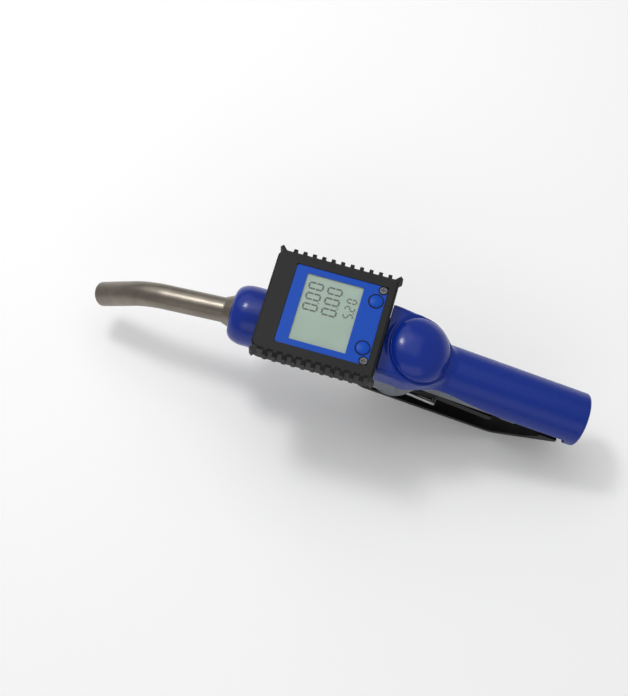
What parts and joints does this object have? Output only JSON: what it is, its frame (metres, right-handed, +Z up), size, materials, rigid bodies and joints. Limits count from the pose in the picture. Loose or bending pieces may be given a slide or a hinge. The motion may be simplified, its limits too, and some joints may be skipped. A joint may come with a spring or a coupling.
{
  "type": "metering fuel nozzle",
  "caption": "Hand-held automatic fuel nozzle with a digital flow meter in its barrel, a bent spout, a trigger lever under a guard and a covered handle.",
  "frame": {"origin": "centre of the hose inlet, on the end face of the handle", "axes": "X along the meter barrel from the spout towards the handle, Z up through the display, Y across; the nozzle is symmetric about the XZ plane apart from the figures that the display shows"},
  "size_m": [0.389, 0.0858, 0.125],
  "materials": {
    "satin_steel": "satin, drawn tube",
    "black_rubber": "moulded",
    "blue_coat": "gloss, moulded",
    "blue_cover": "semi-gloss, soft vinyl",
    "brass": "machined",
    "acetal": "moulded",
    "spring_steel": "drawn wire and turned rod",
    "grey_casting": "cast, tumbled and coated",
    "dark_plastic": "fine grained moulding",
    "black_plastic": "fine grained moulding",
    "blue_panel": "satin film",
    "window_glass": "polished clear sheet",
    "lcd_grey": "matt reflective display film",
    "lcd_ink": "dark liquid-crystal bars",
    "board_green": "solder mask",
    "cell_steel": "plain wrapped cell",
    "screw_steel": "blackened steel"
  },
  "bodies": {
    "root": {"spout_tube": "satin_steel", "vent_tube": "satin_steel", "spout_base": "satin_steel", "spout_seal": "black_rubber", "front_collar": "blue_coat", "check_valve_seat": "brass", "check_guide": "acetal", "check_spring": "spring_steel", "front_flow_guide": "acetal", "rear_flow_guide": "acetal", "meter_body": "grey_casting", "meter_seal": "black_rubber", "register_housing": "dark_plastic", "bezel": "dark_plastic", "face_panel": "blue_panel", "panel_gasket": "black_rubber", "lcd_window": "window_glass", "lcd_module": "lcd_grey", "lcd_digits": "lcd_ink", "circuit_board": "board_green", "button_switches": "dark_plastic", "batteries": "cell_steel", "battery_cradle": "dark_plastic", "pulse_sensor": "dark_plastic", "panel_screws": "screw_steel", "nozzle_body": "grey_casting", "inlet_strainer": "brass", "valve_seat": "brass", "valve_plug": "brass", "main_spring": "spring_steel", "stem_gland": "brass", "valve_cap": "blue_coat", "trip_gland": "brass", "diaphragm": "black_rubber", "latch_plunger": "acetal", "diaphragm_spring": "spring_steel", "lever_guard": "black_plastic", "guard_screw": "screw_steel", "hand_cover": "blue_cover"},
    "trip": {"trip_stem": "spring_steel", "lever_pin": "spring_steel"},
    "trigger_lever": {"lever": "black_plastic"},
    "clip": {"hold_open_clip": "spring_steel"},
    "main_valve": {"main_poppet": "brass", "poppet_seal": "black_rubber", "valve_stem": "spring_steel"},
    "check_valve": {"check_poppet": "brass"},
    "rotor": {"turbine_rotor": "acetal", "rotor_axle": "spring_steel"},
    "select_button": {"select_button": "blue_panel"},
    "reset_button": {"reset_button": "blue_panel"}
  },
  "joints": [
    {"name": "trip_slide", "type": "slide", "parent": "root", "child": "trip", "axis": [-0.3746, 0, -0.9272], "range_m": [0, 0.005], "stiffness_N_per_m": 900},
    {"name": "lever_pivot", "type": "hinge", "parent": "trip", "child": "trigger_lever", "pos_m": [-0.15315, 0, -0.00548], "axis": [0, -1, 0], "range_deg": [0, 6], "stiffness_Nm_per_rad": 6},
    {"name": "clip_pivot", "type": "hinge", "parent": "trigger_lever", "child": "clip", "pos_m": [-0.13548, 0, -0.0082], "axis": [0, 1, 0], "range_deg": [0, 25.5]},
    {"name": "main_valve_slide", "type": "slide", "parent": "root", "child": "main_valve", "axis": [0.2028, 0, 0.9792], "range_m": [0, 0.0042], "deforming": ["main_spring"]},
    {"name": "check_valve_slide", "type": "slide", "parent": "root", "child": "check_valve", "axis": [-1, 0, 0], "range_m": [0, 0.004], "stiffness_N_per_m": 120, "deforming": ["check_spring"]},
    {"name": "rotor_spin", "type": "hinge", "parent": "root", "child": "rotor", "pos_m": [-0.20724, 0, 0.02697], "axis": [1, 0, 0], "continuous": true},
    {"name": "select_button_press", "type": "slide", "parent": "root", "child": "select_button", "axis": [0, 0, -1], "range_m": [0, 0.0006], "stiffness_N_per_m": 800},
    {"name": "reset_button_press", "type": "slide", "parent": "root", "child": "reset_button", "axis": [0, 0, -1], "range_m": [0, 0.0006], "stiffness_N_per_m": 800}
  ],
  "couplings": [
    {"joint": "main_valve_slide", "follows": "lever_pivot", "m_per_rad": 0.038329}
  ]
}
